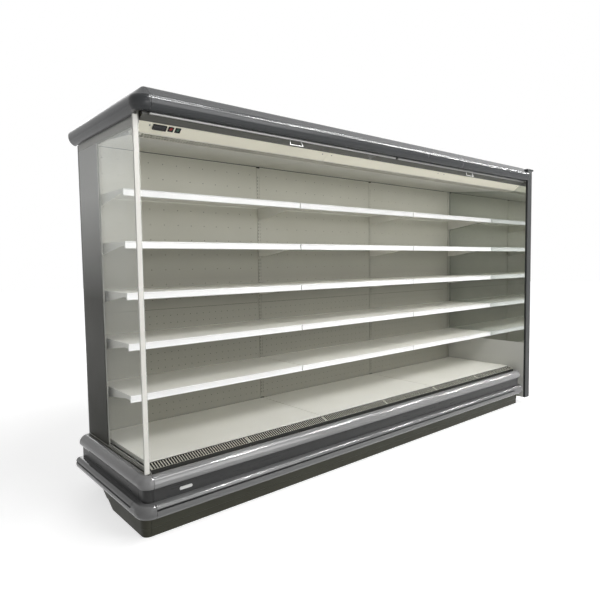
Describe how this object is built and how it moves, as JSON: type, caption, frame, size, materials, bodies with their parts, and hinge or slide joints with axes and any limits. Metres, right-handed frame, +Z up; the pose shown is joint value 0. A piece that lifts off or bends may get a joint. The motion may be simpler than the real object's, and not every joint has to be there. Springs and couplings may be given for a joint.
{
  "type": "open multideck display fridge",
  "caption": "Long open-front refrigerated display cabinet with rows of shelves, a glazed end, a mirrored end and pull-down night blinds.",
  "frame": {"origin": "bottom centre of the whole box, on the floor", "axes": "+X along the cabinet from the glazed left end to the mirrored right end, +Y from the open front to the back, +Z up"},
  "size_m": [3.9758, 1.0103, 2.272],
  "materials": {
    "canopy_enamel": "gloss",
    "grey_moulding": "gloss",
    "dark_band": "gloss",
    "black_rubber": "matte",
    "plinth_enamel": "satin",
    "badge_metal": "satin",
    "white_enamel": "satin",
    "end_frame_enamel": "satin",
    "rear_enamel": "satin",
    "shelf_enamel": "satin",
    "cream_enamel": "satin",
    "end_grey": "gloss",
    "clear_glass": "gloss",
    "mirror": "polished",
    "dark_trim": "satin",
    "wall_panel": "satin",
    "foam_panel": "satin",
    "black_plastic": "satin",
    "display_glass": "gloss",
    "red_plastic": "gloss",
    "green_plastic": "gloss",
    "grille_white": "satin",
    "grille_grey": "satin",
    "ticket_plastic": "gloss",
    "lamp_glass": "satin",
    "zinc": "satin",
    "alloy": "satin",
    "blind_fabric": "matte",
    "copper": "satin",
    "pvc_grey": "satin"
  },
  "bodies": {
    "cabinet": {"base_frame": "zinc", "levelling_feet": "black_plastic", "insulated_tub": "foam_panel", "drain_outlet": "pvc_grey", "insulated_rear_wall": "foam_panel", "insulated_roof": "foam_panel", "plinth": "plinth_enamel", "upper_bumper_rails": "grey_moulding", "upper_bumper_corners": "grey_moulding", "dark_band": "dark_band", "lower_bumper_rails": "grey_moulding", "lower_bumper_corners": "grey_moulding", "bumper_groove_strips": "black_rubber", "blank_badge": "badge_metal", "left_end_frame": "end_frame_enamel", "left_end_glass": "clear_glass", "left_end_rear_panel": "end_grey", "right_end_wall": "wall_panel", "right_end_mirror": "mirror", "end_edge_trims": "dark_trim", "canopy_front": "canopy_enamel", "canopy_side": "canopy_enamel", "canopy_corner_cap": "canopy_enamel", "blind_cassette_fascia": "canopy_enamel", "canopy_inner_fascia": "cream_enamel", "fascia_screws": "zinc", "control_panel": "black_plastic", "thermostat_display": "display_glass", "air_discharge_grille": "grille_white", "ceiling_panels": "white_enamel", "canopy_lamps": "lamp_glass", "electrical_box": "pvc_grey", "roller_brackets": "zinc", "slotted_uprights": "rear_enamel", "rear_panels_lower": "rear_enamel", "rear_panels_upper": "rear_enamel", "shelf_plates": "shelf_enamel", "ticket_rails": "ticket_plastic", "shelf_brackets": "shelf_enamel", "deck_support_rail": "zinc", "return_air_grille": "grille_grey", "fan_plenum": "zinc", "fan_motors": "black_plastic", "coil_fins": "alloy", "coil_tubes": "copper", "refrigerant_pipes": "copper"},
    "blind_bar_left": {"blind_bar_left": "alloy", "blind_fabric_left": "blind_fabric"},
    "blind_bar_right": {"blind_bar_right": "alloy", "blind_fabric_right": "blind_fabric"},
    "blind_roller_left": {"blind_roller_left": "alloy"},
    "blind_roller_right": {"blind_roller_right": "alloy"},
    "power_rocker": {"power_rocker": "red_plastic"},
    "lamp_rocker": {"lamp_rocker": "green_plastic"},
    "fan_wheel_1": {"fan_wheel_1": "black_plastic"},
    "fan_wheel_2": {"fan_wheel_2": "black_plastic"},
    "fan_wheel_3": {"fan_wheel_3": "black_plastic"},
    "deck_pan_1": {"deck_pan_1": "shelf_enamel"},
    "deck_pan_2": {"deck_pan_2": "shelf_enamel"},
    "deck_pan_3": {"deck_pan_3": "shelf_enamel"}
  },
  "joints": [
    {"name": "blind_left_pull", "type": "slide", "parent": "cabinet", "child": "blind_bar_left", "axis": [0, 0, -1], "range_m": [0, 1.75], "stiffness_N_per_m": 8, "springref_m": -1.5, "deforming": ["blind_fabric_left"]},
    {"name": "blind_left_roll", "type": "hinge", "parent": "cabinet", "child": "blind_roller_left", "pos_m": [-0.9375, -0.428, 2.178], "axis": [1, 0, 0], "range_deg": [0, 3789]},
    {"name": "blind_right_pull", "type": "slide", "parent": "cabinet", "child": "blind_bar_right", "axis": [0, 0, -1], "range_m": [0, 1.75], "stiffness_N_per_m": 8, "springref_m": -1.5, "deforming": ["blind_fabric_right"]},
    {"name": "blind_right_roll", "type": "hinge", "parent": "cabinet", "child": "blind_roller_right", "pos_m": [0.9425, -0.428, 2.178], "axis": [1, 0, 0], "range_deg": [0, 3789]},
    {"name": "power_switch", "type": "hinge", "parent": "cabinet", "child": "power_rocker", "pos_m": [-1.7125, -0.38815, 2.09646], "axis": [-1, 0, 0], "range_deg": [0, 20]},
    {"name": "lamp_switch", "type": "hinge", "parent": "cabinet", "child": "lamp_rocker", "pos_m": [-1.6735, -0.38815, 2.09646], "axis": [-1, 0, 0], "range_deg": [0, 20]},
    {"name": "fan_1_spin", "type": "hinge", "parent": "cabinet", "child": "fan_wheel_1", "pos_m": [-1.2425, -0.185, 0.248], "axis": [0, 1, 0], "continuous": true},
    {"name": "fan_2_spin", "type": "hinge", "parent": "cabinet", "child": "fan_wheel_2", "pos_m": [0.0075, -0.185, 0.248], "axis": [0, 1, 0], "continuous": true},
    {"name": "fan_3_spin", "type": "hinge", "parent": "cabinet", "child": "fan_wheel_3", "pos_m": [1.2575, -0.185, 0.248], "axis": [0, 1, 0], "continuous": true},
    {"name": "deck_1_lift", "type": "hinge", "parent": "cabinet", "child": "deck_pan_1", "pos_m": [-1.2425, 0.368, 0.333], "axis": [-1, 0, 0], "range_deg": [0, 25]},
    {"name": "deck_2_lift", "type": "hinge", "parent": "cabinet", "child": "deck_pan_2", "pos_m": [0.0075, 0.368, 0.333], "axis": [-1, 0, 0], "range_deg": [0, 25]},
    {"name": "deck_3_lift", "type": "hinge", "parent": "cabinet", "child": "deck_pan_3", "pos_m": [1.2575, 0.368, 0.333], "axis": [-1, 0, 0], "range_deg": [0, 25]}
  ],
  "couplings": [
    {"joint": "blind_left_roll", "follows": "blind_left_pull", "rad_per_m": 37.736},
    {"joint": "blind_right_roll", "follows": "blind_right_pull", "rad_per_m": 37.736}
  ]
}
